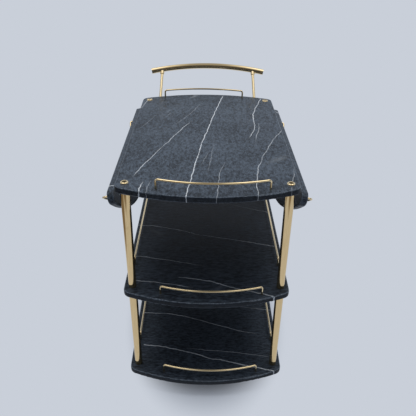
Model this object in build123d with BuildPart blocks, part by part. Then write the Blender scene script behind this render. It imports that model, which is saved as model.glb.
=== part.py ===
"""Folding tea trolley: three stone tiers on brass posts, with two drop leaves on the top.

Millimetres, +Z up, floor at z = 0. The handle end is +Y, and the drop leaves hang at -X and +X.
The origin is on the floor, in the middle of the whole length and width, handle included.
The leaves are drawn hanging at rest, where their weight hangs straight below the hinge pins.
"""

import os
from math import asin, atan2, cos, hypot, radians, sin, sqrt

from build123d import *

os.makedirs("parts", exist_ok=True)

# Stone tiers
top_length = 786.0
top_width = 460.0
stone_thickness = 18.0
end_radius = 554.0
corner_radius = 24.0
edge_radius = 4.0

# Heights
caster_height = 50.0
lower_gap = 282.0
upper_gap = 307.0

# Posts
post_inset_x = 24.0
post_inset_y = 71.0
upper_post_top_diameter = 25.0
lower_post_top_diameter = 24.0
post_foot_diameter = 21.5
post_seat_diameter = 14.0
post_tip_height = 5.0

# Post fasteners
post_thread_diameter = 6.0
post_thread_depth = 22.0
post_screw_head_diameter = 12.4
socket_diameter = 4.6
socket_depth = 2.2
cup_diameter = 21.0
cup_lip_diameter = 14.4
cup_height = 3.6
cup_bulge = 0.7
base_head_diameter = 14.0
base_head_height = 3.5

# Gallery rails
rail_diameter = 5.5
rail_height = 26.0
rail_bend_radius = 7.0
rail_socket_depth = 10.0
end_rail_margin = 91.0
end_rail_inset = 40.0
end_rail_radius = 450.0
end_rail_shift = 13.0
side_rail_margin = 173.0
side_rail_inset = 19.0

# Handle
handle_bar_diameter = 20.0
handle_bar_wall = 2.0
handle_bar_overhang = 39.5
handle_bar_bow = 23.0
handle_rod_diameter = 10.0
handle_rod_toe_in = 6.0
handle_rod_bend_radius = 18.0
handle_rod_overhang = 16.5
handle_tail_length = 90.0
handle_reach = 78.0
handle_rise = 73.5
collar_diameter = 15.0
collar_length = 9.0
collar_chamfer = 1.2
clamp_length = 30.0
clamp_width = 35.0
clamp_wall = 2.5
clamp_screw_offset = 13.0
clamp_setback = 39.5
clamp_post_gap = 2.0

# Drop leaves
leaf_gap = 3.0
leaf_depth = 156.0
leaf_end_margin = 36.0
leaf_corner_radius = 20.0
leaf_swing = 102.0
leaf_rail_inset = 30.0
leaf_rail_margin = 79.0

# Hinges
hinge_y = 195.0
hinge_length = 70.0
hinge_plate_width = 32.0
hinge_barrel_radius = 6.0
hinge_pin_diameter = 6.0
hinge_screw_setback = 20.0
hinge_screw_pitch = 24.0
knuckle_gap = 0.4
knuckle_clearance = 1.0

# Slotted stays
stay_y = 110.0
stay_arm = 60.0
stay_rest_angle = 15.0
stay_pivot_drop = 12.0
stay_width = 16.0
stay_thickness = 3.0
stay_side_gap = 0.5
stay_stud_diameter = 6.0
stay_stud_head_diameter = 9.5
stay_stud_head_height = 2.0
stay_notch = 2.0
bracket_width = 16.0
bracket_foot_length = 28.0
bracket_screw_first = 9.0
bracket_screw_pitch = 11.0

# Plates and the screws that hold them
plate_thickness = 2.5
screw_diameter = 4.0
screw_grip = 10.0
screw_head_diameter = 7.0
screw_head_height = 2.2

# Casters
caster_inset_x = 58.0
caster_inset_y = 107.0
caster_plate_size = 40.0
caster_screw_pitch = 28.0
caster_trail = 16.0
wheel_diameter = 38.0
wheel_width = 16.0
wheel_edge_radius = 4.0
hub_diameter = 14.0
hub_step = 0.5
axle_diameter = 5.0
axle_head_diameter = 8.0
axle_head_height = 1.5
fork_disc_diameter = 28.0
fork_thickness = 2.5
fork_eye_diameter = 14.0
fork_shoulder = 16.0
kingpin_diameter = 8.0
kingpin_head_diameter = 14.0
kingpin_head_height = 1.8
swivel_gap = 0.4

# Clearances
fixed_fit = 0.05
running_fit = 0.06
slot_clearance = 0.3
hole_clearance = 0.3
wheel_side_gap = 0.6

# Levels of the tiers, each the underside of a stone
bottom_z = caster_height
middle_z = bottom_z + stone_thickness + lower_gap
top_z = middle_z + stone_thickness + upper_gap
surface_z = top_z + stone_thickness

# Places of the posts and casters, by corner
post_x = top_width / 2 - post_inset_x
post_y = top_length / 2 - post_inset_y
caster_x = top_width / 2 - caster_inset_x
caster_y = top_length / 2 - caster_inset_y
CORNERS = {"near_left": (-1, -1), "near_right": (1, -1), "far_left": (-1, 1), "far_right": (1, 1)}
SIDES = {"left": -1, "right": 1}
ENDS = {"near": -1, "far": 1}

# Reach of the rails and of the handle across the top
end_rail_half_span = top_width / 2 - end_rail_margin
side_rail_half_span = top_length / 2 - side_rail_margin
handle_rod_foot_x = post_x - upper_post_top_diameter / 2 - clamp_post_gap - clamp_width / 2
handle_rod_top_x = handle_rod_foot_x - handle_rod_toe_in
handle_bar_half_length = handle_rod_top_x + handle_bar_overhang

# The handle's bar lies in a plane that leans outward with its rods
rod_z = top_z - handle_rod_diameter / 2 - fixed_fit
bar_rod_z = surface_z + handle_rise
lean = hypot(handle_reach, bar_rod_z - rod_z)
lean_y = handle_reach / lean
lean_z = (bar_rod_z - rod_z) / lean
bow_at_rod = handle_bar_bow * (1.0 - (handle_rod_top_x / handle_bar_half_length) ** 2)
rod_foot_edge = top_length / 2 - end_radius + sqrt(end_radius**2 - handle_rod_foot_x**2)
rod_bend_y = rod_foot_edge + handle_rod_overhang
bar_rod_y = rod_bend_y + handle_reach
clamp_y = rod_foot_edge - clamp_setback
bar_far_y = bar_rod_y + (handle_bar_bow - bow_at_rod) * lean_y + handle_bar_diameter / 2
centre_y = (top_length / 2 - bar_far_y) / 2

# Hinge pins and the leaf's own directions at rest
pin_x = top_width / 2 + leaf_gap / 2
pin_z = top_z - hinge_barrel_radius
swing = radians(leaf_swing)
leaf_half_chord = top_length / 2 - leaf_end_margin
leaf_rail_half_span = leaf_half_chord - leaf_rail_margin
leaf_radius = (leaf_half_chord**2 + leaf_depth**2) / (2 * leaf_depth)

# Stays: frame stud and leaf pivot are the same distance from the hinge pin, so the link
# always turns half as far as the leaf
pivot_n = hinge_barrel_radius - stay_pivot_drop
pivot_u = sqrt(stay_arm**2 - pivot_n**2)
pivot_angle = atan2(pivot_n, pivot_u) - swing
stud_angle = pivot_angle - radians(stay_rest_angle)
pivot_x = pin_x + stay_arm * cos(pivot_angle)
pivot_z = pin_z + stay_arm * sin(pivot_angle)
stud_x = pin_x + stay_arm * cos(stud_angle)
stud_z = pin_z + stay_arm * sin(stud_angle)
stay_rest = 2 * stay_arm * sin(radians(stay_rest_angle) / 2)
stay_open = 2 * stay_arm * sin((radians(stay_rest_angle) + swing) / 2)
stay_layer = stay_thickness / 2 + stay_side_gap


def keep(part, label):
    """Label a finished piece and write it to its own file."""
    part.label = label
    export_step(part, f"parts/{label}.step")


def corner_points(x, y, z):
    """Return the four corner points at a distance from the middle of the tiers."""
    return [(sx * x, centre_y + sy * y, z) for sx, sy in CORNERS.values()]


def side_frame(side, x, z):
    """Return a plane at one long side: local x outward, local z up."""
    return Plane(origin=(side * x, centre_y, z), x_dir=(side, 0, 0), z_dir=(0, 0, 1))


def leaf_frame(side, n=0.0):
    """Return the leaf's plane at rest, n above its hinge pin: x away from the pin, z through its top."""
    along = (side * cos(swing), 0, -sin(swing))
    up = (side * sin(swing), 0, cos(swing))
    return Plane(origin=(side * pin_x, centre_y, pin_z), x_dir=along, z_dir=up).offset(n)


def stay_frame(side, y):
    """Return the plane of one stay link: origin at its leaf pivot, x towards the frame stud."""
    dx = (stud_x - pivot_x) * side
    dz = stud_z - pivot_z
    origin = (side * pivot_x, centre_y + side * y, pivot_z)
    return Plane(origin=origin, x_dir=(dx, 0, dz), z_dir=(0, side, 0))


def hinge_screw_places():
    """Return the hinge screws' places along the pin."""
    return [sign * hinge_y + step * hinge_screw_pitch for sign in (-1, 1) for step in (-1, 0, 1)]


def bracket_screw_places(first):
    """Return the stay bracket screws' places along the pin, from the plate's face outward."""
    steps = [bracket_screw_first + i * bracket_screw_pitch for i in (0, 1)]
    offsets = [stay_y + first * (stay_layer + plate_thickness + step) for step in steps]
    return [sign * offset for sign in (-1, 1) for offset in offsets]


def underside_screw_points():
    """Return the points on the top's underside that take a fixing screw."""
    points = []
    for side in SIDES.values():
        frame = side_frame(side, 0, top_z)
        for y in hinge_screw_places():
            points.append(frame.from_local_coords((pin_x - hinge_screw_setback, y, 0)))
        for y in bracket_screw_places(-1):
            points.append(frame.from_local_coords((stud_x, y, 0)))
        for offset in (-clamp_screw_offset, clamp_screw_offset):
            points.append(Vector(side * handle_rod_foot_x + offset, centre_y + clamp_y, top_z))
    return points


def caster_screw_points():
    """Return the points on the bottom shelf's underside that take a fixing screw."""
    half = caster_screw_pitch / 2
    points = []
    for x, y, z in corner_points(caster_x, caster_y, bottom_z):
        points += [Vector(x + i * half, y + j * half, z) for i in (-1, 1) for j in (-1, 1)]
    return points


def end_rail_frame(end, z):
    """Return an end rail's plane: origin midway between its feet, y outward, z up."""
    y = centre_y + end * (top_length / 2 - end_rail_inset)
    return Plane(origin=(-end * end_rail_shift, y, z), x_dir=(end, 0, 0), z_dir=(0, 0, 1))


def side_rail_frame(side, z):
    """Return a side rail's plane: origin midway between its feet, y outward, z up."""
    x = side * (top_width / 2 - side_rail_inset)
    return Plane(origin=(x, centre_y, z), x_dir=(0, -side, 0), z_dir=(0, 0, 1))


def bow_angle(half_span, radius):
    """Return the half angle of a bowed rail whose bent feet are half_span from its middle."""
    return asin(half_span / hypot(radius, rail_bend_radius)) - atan2(rail_bend_radius, radius)


def rail_feet(frame, half_span):
    """Return the two points where a rail enters the stone."""
    return [frame.from_local_coords((sign * half_span, 0, 0)) for sign in (-1, 1)]


def leaf_rail_frame(side):
    """Return a leaf rail's plane on the leaf's top face, concentric with the leaf's round edge."""
    radius = leaf_radius - leaf_rail_inset
    angle = bow_angle(leaf_rail_half_span, radius)
    foot = leaf_gap / 2 + leaf_depth - leaf_radius + radius * cos(angle) - rail_bend_radius * sin(angle)
    top = leaf_frame(side, hinge_barrel_radius + stone_thickness)
    return Plane(origin=top.from_local_coords((foot, 0, 0)), x_dir=(0, -side, 0), z_dir=top.z_dir)


def make_rail(frame, half_span, radius=None):
    """Return a bent rod standing on its frame's face: straight, or bowed outward to a radius."""
    angle = bow_angle(half_span, radius) if radius else 0.0
    rise = rail_height - rail_bend_radius
    half = rail_bend_radius * sin(radians(45))
    knee_in = rail_bend_radius - half
    tangent_x = cos(angle)
    tangent_y = sin(angle)
    start = half_span - rail_bend_radius * tangent_x
    end_y = rail_bend_radius * tangent_y
    with BuildPart() as rail:
        with BuildLine(frame) as path:
            for sign in (-1, 1):
                Line((sign * half_span, 0, -rail_socket_depth), (sign * half_span, 0, rise))
                ThreePointArc(
                    (sign * half_span, 0, rise),
                    (sign * (half_span - knee_in * tangent_x), knee_in * tangent_y, rise + half),
                    (sign * start, end_y, rail_height),
                )
            if radius:
                crown = (0, end_y + radius * (1 - cos(angle)), rail_height)
                ThreePointArc((-start, end_y, rail_height), crown, (start, end_y, rail_height))
            else:
                Line((-start, 0, rail_height), (start, 0, rail_height))
        foot = frame.from_local_coords((-half_span, 0, -rail_socket_depth))
        with BuildSketch(Plane(origin=foot, z_dir=frame.z_dir)):
            Circle(rail_diameter / 2)
        sweep(path=path.wires()[0])
    return rail.part


def make_stone(z, rails, through, blind):
    """Return one stone tier with its rail sockets, its post holes and blind holes from below."""
    bow = end_radius - sqrt(end_radius**2 - (top_width / 2) ** 2)
    half_x = top_width / 2
    half_y = top_length / 2 - bow
    with BuildPart() as stone:
        with BuildSketch(Plane.XY.offset(z)):
            with BuildLine():
                for end in ENDS.values():
                    ThreePointArc(
                        (-half_x, centre_y + end * half_y),
                        (0, centre_y + end * top_length / 2),
                        (half_x, centre_y + end * half_y),
                    )
                for side in SIDES.values():
                    Line((side * half_x, centre_y - half_y), (side * half_x, centre_y + half_y))
            outline = make_face()
            fillet(outline.vertices(), corner_radius)
        extrude(amount=stone_thickness)
        rims = stone.faces().filter_by(Axis.Z).edges()
        fillet(rims, edge_radius)
        for frame, half_span in rails:
            with BuildSketch(frame.offset(-rail_socket_depth)):
                with Locations((-half_span, 0), (half_span, 0)):
                    Circle(rail_diameter / 2 + fixed_fit)
            extrude(amount=rail_socket_depth + edge_radius, mode=Mode.SUBTRACT)
        with BuildSketch(Plane.XY.offset(z)):
            with Locations(*through):
                Circle(post_thread_diameter / 2 + hole_clearance)
        extrude(amount=stone_thickness, mode=Mode.SUBTRACT)
        if blind:
            with BuildSketch(Plane.XY.offset(z)):
                with Locations(*[(p.X, p.Y) for p in blind]):
                    Circle(screw_diameter / 2 + fixed_fit)
            extrude(amount=screw_grip + fixed_fit, mode=Mode.SUBTRACT)
    return stone.part


def make_post(x, y, z, height, top_diameter):
    """Return one tapered post with a rounded foot and a threaded hole in each end."""
    foot = post_foot_diameter / 2
    seat = post_seat_diameter / 2
    bore = post_thread_diameter / 2 + fixed_fit
    depth = post_thread_depth + fixed_fit
    frame = Plane(origin=(x, y, z), x_dir=(1, 0, 0), z_dir=(0, -1, 0))
    with BuildPart() as post:
        with BuildSketch(frame):
            with BuildLine():
                Line((bore, 0), (seat, 0))
                Bezier((seat, 0), (foot, 0), (foot, post_tip_height / 2), (foot, post_tip_height))
                Line((foot, post_tip_height), (top_diameter / 2, height))
                Line((top_diameter / 2, height), (bore, height))
                Polyline((bore, height), (bore, height - depth), (0, height - depth))
                Polyline((0, height - depth), (0, depth), (bore, depth), (bore, 0))
            make_face()
        revolve(axis=Axis((x, y, z), (0, 0, 1)))
    return post.part


def add_fixing_screw(frame):
    """Add one flat-headed screw to the open part, its head below a plate on the frame's face."""
    radius = screw_diameter / 2
    head = screw_head_diameter / 2
    with BuildSketch(frame.offset(-plate_thickness)) as shank:
        Circle(radius)
    extrude(shank.sketch, amount=plate_thickness + screw_grip)
    with BuildSketch(frame.offset(-plate_thickness - screw_head_height)) as cap:
        Circle(head)
    extrude(cap.sketch, amount=screw_head_height)


# Stone tiers
post_places = [(sx * post_x, centre_y + sy * post_y) for sx, sy in CORNERS.values()]
top_rails = [(end_rail_frame(end, surface_z), end_rail_half_span) for end in ENDS.values()]
keep(make_stone(top_z, top_rails, post_places, underside_screw_points()), "top_slab")
for name, z, blind in (("middle", middle_z, []), ("bottom", bottom_z, caster_screw_points())):
    face = z + stone_thickness
    shelf_rails = [(end_rail_frame(end, face), end_rail_half_span) for end in ENDS.values()]
    shelf_rails += [(side_rail_frame(side, face), side_rail_half_span) for side in SIDES.values()]
    keep(make_stone(z, shelf_rails, post_places, blind), f"{name}_shelf")

# Posts
for corner, (x, y, z) in zip(CORNERS, corner_points(post_x, post_y, middle_z + stone_thickness)):
    keep(make_post(x, y, z, upper_gap, upper_post_top_diameter), f"upper_post_{corner}")
for corner, (x, y, z) in zip(CORNERS, corner_points(post_x, post_y, bottom_z + stone_thickness)):
    keep(make_post(x, y, z, lower_gap, lower_post_top_diameter), f"lower_post_{corner}")

# Cup washers under the countersunk screws of the top
screw_cone = post_screw_head_diameter / 2 - post_thread_diameter / 2
washer_bore = post_thread_diameter / 2 + hole_clearance
with BuildPart() as cup_washers:
    for x, y, z in corner_points(post_x, post_y, surface_z):
        with BuildSketch(Plane(origin=(x, y, z), x_dir=(1, 0, 0), z_dir=(0, -1, 0))):
            with BuildLine():
                seat_r = post_screw_head_diameter / 2 + fixed_fit
                lip_r = cup_lip_diameter / 2
                rim_r = cup_diameter / 2
                bulge = ((rim_r + lip_r) / 2 + cup_bulge, cup_height / 2 + cup_bulge)
                Line((washer_bore, 0), (rim_r, 0))
                ThreePointArc((rim_r, 0), bulge, (lip_r, cup_height))
                Line((lip_r, cup_height), (seat_r, cup_height))
                Line((seat_r, cup_height), (washer_bore, cup_height - seat_r + washer_bore))
                Line((washer_bore, cup_height - seat_r + washer_bore), (washer_bore, 0))
            make_face()
        revolve(axis=Axis((x, y, z), (0, 0, 1)))
keep(cup_washers.part, "cup_washers")

with BuildPart() as top_screws:
    for x, y, z in corner_points(post_x, post_y, surface_z):
        shank = post_thread_diameter / 2
        socket = socket_diameter / 2
        end = -stone_thickness - post_thread_depth
        floor = cup_height - socket_depth
        with BuildSketch(Plane(origin=(x, y, z), x_dir=(1, 0, 0), z_dir=(0, -1, 0))):
            with BuildLine():
                Polyline((0, end), (shank, end), (shank, cup_height - screw_cone))
                Line((shank, cup_height - screw_cone), (shank + screw_cone, cup_height))
                Line((shank + screw_cone, cup_height), (socket, cup_height))
                Polyline((socket, cup_height), (socket, floor), (0, floor), (0, end))
            make_face()
        revolve(axis=Axis((x, y, z), (0, 0, 1)))
keep(top_screws.part, "top_screws")

# Studs that join the upper and lower posts through the middle shelf
with BuildPart() as joining_studs:
    with BuildSketch(Plane.XY.offset(middle_z - post_thread_depth)):
        with Locations(*post_places):
            Circle(post_thread_diameter / 2)
    extrude(amount=stone_thickness + 2 * post_thread_depth)
keep(joining_studs.part, "joining_studs")

# Screws from below the bottom shelf into the lower posts
with BuildPart() as base_screws:
    with BuildSketch(Plane.XY.offset(bottom_z - base_head_height)):
        with Locations(*post_places):
            Circle(base_head_diameter / 2)
    extrude(amount=base_head_height)
    with BuildSketch(Plane.XY.offset(bottom_z)):
        with Locations(*post_places):
            Circle(post_thread_diameter / 2)
    extrude(amount=stone_thickness + post_thread_depth)
    with BuildSketch(Plane.XY.offset(bottom_z - base_head_height)):
        with Locations(*post_places):
            RegularPolygon(socket_diameter / 2, 6)
    extrude(amount=socket_depth, mode=Mode.SUBTRACT)
keep(base_screws.part, "base_screws")

# Gallery rails
for name, z in (("top", top_z), ("middle", middle_z), ("bottom", bottom_z)):
    for end_name, end in ENDS.items():
        frame = end_rail_frame(end, z + stone_thickness)
        keep(make_rail(frame, end_rail_half_span, end_rail_radius), f"{name}_rail_{end_name}")
for name, z in (("middle", middle_z), ("bottom", bottom_z)):
    for side_name, side in SIDES.items():
        frame = side_rail_frame(side, z + stone_thickness)
        keep(make_rail(frame, side_rail_half_span), f"{name}_rail_{side_name}")


def bar_point(x, bow):
    """Return a point of the handle bar's axis: x across, bow up the leaning plane from its rods."""
    step = bow - bow_at_rod
    return Vector(x, centre_y + bar_rod_y + step * lean_y, bar_rod_z + step * lean_z)


def add_bar(radius, mode):
    """Add or cut a round bar along the handle's bowed axis."""
    ends = [bar_point(sign * handle_bar_half_length, 0) for sign in (-1, 1)]
    with BuildLine() as axis:
        ThreePointArc(ends[0], bar_point(0, handle_bar_bow), ends[1])
    with BuildSketch(Plane(origin=axis.line @ 0, z_dir=axis.line % 0)) as section:
        Circle(radius)
    sweep(section.sketch, path=axis.line, mode=mode)


# Handle
with BuildPart() as handle_bar:
    add_bar(handle_bar_diameter / 2, Mode.ADD)
    add_bar(handle_bar_diameter / 2 - handle_bar_wall, Mode.SUBTRACT)
keep(handle_bar.part, "handle_bar")

for side_name, side in SIDES.items():
    knee = Vector(side * handle_rod_foot_x, centre_y + rod_bend_y, rod_z)
    tail = knee - Vector(0, handle_tail_length, 0)
    head = bar_point(side * handle_rod_top_x, bow_at_rod)
    first = (knee - tail).normalized()
    second = (head - knee).normalized()
    inward = (second - first).normalized()
    half_turn = radians(first.get_angle(second)) / 2
    reach = handle_rod_bend_radius * sin(half_turn) / cos(half_turn)
    middle = knee + inward * (handle_rod_bend_radius / cos(half_turn) - handle_rod_bend_radius)
    with BuildPart() as handle_rod:
        with BuildLine() as path:
            Line(tail, knee - first * reach)
            ThreePointArc(knee - first * reach, middle, knee + second * reach)
            Line(knee + second * reach, head)
        with BuildSketch(Plane(origin=tail, z_dir=first)):
            Circle(handle_rod_diameter / 2)
        sweep(path=path.wires()[0])
        collar_at = head - second * (handle_bar_diameter / 2 + collar_length)
        across = second.cross(Vector(0, 0, 1)).normalized()
        rim = collar_diameter / 2
        tall = (head - collar_at).length
        with BuildSketch(Plane(origin=collar_at, x_dir=across, z_dir=across.cross(second))):
            with BuildLine():
                Polyline((0, 0), (rim - collar_chamfer, 0), (rim, collar_chamfer), (rim, tall))
                Polyline((rim, tall), (0, tall), (0, 0))
            make_face()
        revolve(axis=Axis(collar_at, second))
        add_bar(handle_bar_diameter / 2, Mode.SUBTRACT)
    keep(handle_rod.part, f"handle_rod_{side_name}")

with BuildPart() as handle_clamps:
    for side in SIDES.values():
        origin = (side * handle_rod_foot_x, centre_y + clamp_y - clamp_length / 2, top_z)
        rod_r = handle_rod_diameter / 2 + fixed_fit
        with BuildSketch(Plane(origin=origin, x_dir=(-1, 0, 0), z_dir=(0, 1, 0))) as profile:
            with Locations((0, -plate_thickness / 2)):
                Rectangle(clamp_width, plate_thickness)
            with Locations((0, rod_z - top_z)):
                Circle(rod_r + clamp_wall)
            with Locations((0, (rod_z - top_z) / 2)):
                Rectangle(2 * (rod_r + clamp_wall), top_z - rod_z)
            with Locations((0, clamp_width / 2)):
                Rectangle(clamp_width, clamp_width, mode=Mode.SUBTRACT)
            with Locations((0, rod_z - top_z)):
                Circle(rod_r, mode=Mode.SUBTRACT)
            with Locations((0, (rod_z - top_z) / 2)):
                Rectangle(2 * rod_r, top_z - rod_z, mode=Mode.SUBTRACT)
        extrude(profile.sketch, amount=clamp_length)
        with BuildSketch(Plane.XY.offset(top_z)) as holes:
            for offset in (-clamp_screw_offset, clamp_screw_offset):
                with Locations((side * handle_rod_foot_x + offset, centre_y + clamp_y)):
                    Circle(screw_diameter / 2 + fixed_fit)
        extrude(holes.sketch, amount=-plate_thickness, mode=Mode.SUBTRACT)
keep(handle_clamps.part, "handle_clamps")

# Fixing screws of the frame: hinges, stay hangers, handle clamps and casters
with BuildPart() as fixing_screws:
    for point in underside_screw_points() + caster_screw_points():
        add_fixing_screw(Plane(origin=point))
keep(fixing_screws.part, "fixing_screws")


def pin_plane(frame, y):
    """Return a plane across a hinge pin, y along it from the frame's origin."""
    return Plane(origin=frame.from_local_coords((0, y, 0)), x_dir=frame.x_dir, z_dir=frame.y_dir)


def add_hinge_half(frame, direction, knuckles, bore):
    """Add one hinge half: a flat plate beside the pin, knuckles round it, and screw holes."""
    third = hinge_length / 3
    clear = hinge_barrel_radius + knuckle_clearance
    plate_plane = frame.offset(hinge_barrel_radius - plate_thickness)
    with BuildSketch(plate_plane) as plate:
        with Locations((direction * (clear + (hinge_plate_width - clear) / 2), 0)):
            Rectangle(hinge_plate_width - clear, hinge_length)
        for place in knuckles:
            with Locations((direction * clear / 2, place * third)):
                Rectangle(clear, third - knuckle_gap)
    extrude(plate.sketch, amount=plate_thickness)
    for place in knuckles:
        start = place * third - (third - knuckle_gap) / 2
        with BuildSketch(pin_plane(frame, start)) as barrel:
            Circle(hinge_barrel_radius)
        extrude(barrel.sketch, amount=third - knuckle_gap)
    for place in knuckles:
        start = place * third - third / 2
        with BuildSketch(pin_plane(frame, start)) as hole:
            Circle(hinge_pin_diameter / 2 + bore)
        extrude(hole.sketch, amount=third, mode=Mode.SUBTRACT)
    with BuildSketch(plate_plane) as holes:
        for step in (-1, 0, 1):
            with Locations((direction * hinge_screw_setback, step * hinge_screw_pitch)):
                Circle(screw_diameter / 2 + fixed_fit)
    extrude(holes.sketch, amount=plate_thickness, mode=Mode.SUBTRACT)


def moved_along(frame, y):
    """Return the same plane further along its own y."""
    return Plane(origin=frame.from_local_coords((0, y, 0)), x_dir=frame.x_dir, z_dir=frame.z_dir)


# Hinges: frame halves with two knuckles, leaf halves with the one between, and the pins
with BuildPart() as hinge_frame_plates:
    for side in SIDES.values():
        for sign in (-1, 1):
            frame = moved_along(side_frame(side, pin_x, pin_z), sign * hinge_y)
            add_hinge_half(frame, -1, (-1, 1), fixed_fit)
keep(hinge_frame_plates.part, "hinge_frame_plates")

for side_name, side in SIDES.items():
    with BuildPart() as hinge_plates:
        for sign in (-1, 1):
            add_hinge_half(moved_along(leaf_frame(side), sign * hinge_y), 1, (0,), running_fit)
    keep(hinge_plates.part, f"{side_name}_hinge_plates")

with BuildPart() as hinge_pins:
    for x, y, z in corner_points(pin_x, hinge_y, pin_z):
        with BuildSketch(Plane(origin=(x, y - hinge_length / 2, z), z_dir=(0, 1, 0))):
            Circle(hinge_pin_diameter / 2)
        extrude(amount=hinge_length)
keep(hinge_pins.part, "hinge_pins")

# Drop leaves
for side_name, side in SIDES.items():
    near_edge = leaf_gap / 2
    underside = leaf_frame(side, hinge_barrel_radius)
    with BuildPart() as leaf:
        with BuildSketch(underside):
            with BuildLine():
                Line((near_edge, -leaf_half_chord), (near_edge, leaf_half_chord))
                ThreePointArc(
                    (near_edge, -leaf_half_chord), (near_edge + leaf_depth, 0), (near_edge, leaf_half_chord)
                )
            outline = make_face()
            fillet(outline.vertices(), leaf_corner_radius)
        extrude(amount=stone_thickness)
        fillet(leaf.faces().filter_by(GeomType.PLANE).sort_by(SortBy.AREA)[-2:].edges(), edge_radius)
        rail_frame = leaf_rail_frame(side)
        with BuildSketch(rail_frame.offset(-rail_socket_depth)):
            with Locations((-leaf_rail_half_span, 0), (leaf_rail_half_span, 0)):
                Circle(rail_diameter / 2 + fixed_fit)
        extrude(amount=rail_socket_depth + edge_radius, mode=Mode.SUBTRACT)
        with BuildSketch(underside):
            with Locations(*[(hinge_screw_setback, y) for y in hinge_screw_places()]):
                Circle(screw_diameter / 2 + fixed_fit)
            with Locations(*[(pivot_u, y) for y in bracket_screw_places(1)]):
                Circle(screw_diameter / 2 + fixed_fit)
        extrude(amount=screw_grip + fixed_fit, mode=Mode.SUBTRACT)
    keep(leaf.part, f"{side_name}_leaf")
    keep(make_rail(rail_frame, leaf_rail_half_span, leaf_radius - leaf_rail_inset), f"{side_name}_leaf_rail")
    with BuildPart() as leaf_screws:
        places = [(hinge_screw_setback, y) for y in hinge_screw_places()]
        places += [(pivot_u, y) for y in bracket_screw_places(1)]
        for place in places:
            origin = underside.from_local_coords((*place, 0))
            add_fixing_screw(Plane(origin=origin, x_dir=underside.x_dir, z_dir=underside.z_dir))
    keep(leaf_screws.part, f"{side_name}_leaf_screws")


def add_stay_bracket(frame, pivot, face, outward):
    """Add an angle bracket: a foot on the stone, a plate down to the pivot, and screw holes.

    frame lies on the stone with z into it, pivot is the pivot's local (x, z), face is the plate's
    side towards the link along local y, and outward is the local y direction away from the link.
    """
    x, drop = pivot
    half = bracket_width / 2
    corner = frame.from_local_coords((x, face, 0))
    face_plane = Plane(origin=corner, x_dir=frame.x_dir, z_dir=frame.y_dir * outward)
    tall = 1 if (face_plane.y_dir - frame.z_dir).length < 1 else -1
    with BuildSketch(face_plane) as plate:
        with Locations((0, tall * drop / 2)):
            Rectangle(bracket_width, abs(drop))
        with Locations((0, tall * drop)):
            Circle(half)
    extrude(plate.sketch, amount=plate_thickness)
    with BuildSketch(frame) as foot:
        with Locations((x, face + outward * bracket_foot_length / 2)):
            Rectangle(bracket_width, bracket_foot_length)
    extrude(foot.sketch, amount=-plate_thickness)
    with BuildSketch(frame) as holes:
        for i in (0, 1):
            step = plate_thickness + bracket_screw_first + i * bracket_screw_pitch
            with Locations((x, face + outward * step)):
                Circle(screw_diameter / 2 + fixed_fit)
    extrude(holes.sketch, amount=-plate_thickness, mode=Mode.SUBTRACT)
    return face_plane, tall * drop


# Stay hangers under the top, each with a hole for its stud
with BuildPart() as stay_hangers:
    for side in SIDES.values():
        for sign in (-1, 1):
            frame = side_frame(side, 0, top_z)
            face = sign * (stay_y - stay_layer)
            plane, drop = add_stay_bracket(frame, (stud_x, stud_z - top_z), face, -sign)
            with BuildSketch(plane) as hole:
                with Locations((0, drop)):
                    Circle(stay_stud_diameter / 2 + fixed_fit)
            extrude(hole.sketch, amount=plate_thickness, mode=Mode.SUBTRACT)
keep(stay_hangers.part, "stay_hangers")

with BuildPart() as stay_studs:
    for side in SIDES.values():
        for sign in (-1, 1):
            start = sign * (stay_y - stay_layer - plate_thickness)
            origin = (side * stud_x, centre_y + side * start, stud_z)
            shank_length = plate_thickness + stay_thickness + 2 * stay_side_gap
            plane = Plane(origin=origin, z_dir=(0, side * sign, 0))
            with BuildSketch(plane) as shank:
                Circle(stay_stud_diameter / 2)
            extrude(shank.sketch, amount=shank_length)
            with BuildSketch(plane.offset(shank_length)) as cap:
                Circle(stay_stud_head_diameter / 2)
            extrude(cap.sketch, amount=stay_stud_head_height)
keep(stay_studs.part, "stay_studs")

# Leaf brackets with their riveted pivots, and the slotted links
for side_name, side in SIDES.items():
    with BuildPart() as stay_brackets:
        for sign in (-1, 1):
            frame = leaf_frame(side, hinge_barrel_radius)
            face = sign * (stay_y + stay_layer)
            plane, drop = add_stay_bracket(frame, (pivot_u, -stay_pivot_drop), face, sign)
            spigot = stay_thickness + 2 * stay_side_gap
            with BuildSketch(plane) as pivot:
                with Locations((0, drop)):
                    Circle(stay_stud_diameter / 2)
            extrude(pivot.sketch, amount=-spigot)
            with BuildSketch(plane.offset(-spigot)) as cap:
                with Locations((0, drop)):
                    Circle(stay_stud_head_diameter / 2)
            extrude(cap.sketch, amount=-stay_stud_head_height)
    keep(stay_brackets.part, f"{side_name}_stay_brackets")
    with BuildPart() as stay_links:
        for sign in (-1, 1):
            slot_r = stay_stud_diameter / 2 + slot_clearance
            with BuildSketch(stay_frame(side, sign * stay_y - stay_thickness / 2)) as link:
                with Locations((stay_open / 2, 0)):
                    SlotCenterToCenter(stay_open, stay_width)
                Circle(stay_stud_diameter / 2 + running_fit, mode=Mode.SUBTRACT)
                with Locations(((stay_rest + stay_open) / 2, 0)):
                    SlotCenterToCenter(stay_open - stay_rest, 2 * slot_r, mode=Mode.SUBTRACT)
                with Locations((stay_open, stay_notch)):
                    Circle(slot_r, mode=Mode.SUBTRACT)
            extrude(link.sketch, amount=stay_thickness)
    keep(stay_links.part, f"{side_name}_stay_links")

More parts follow.
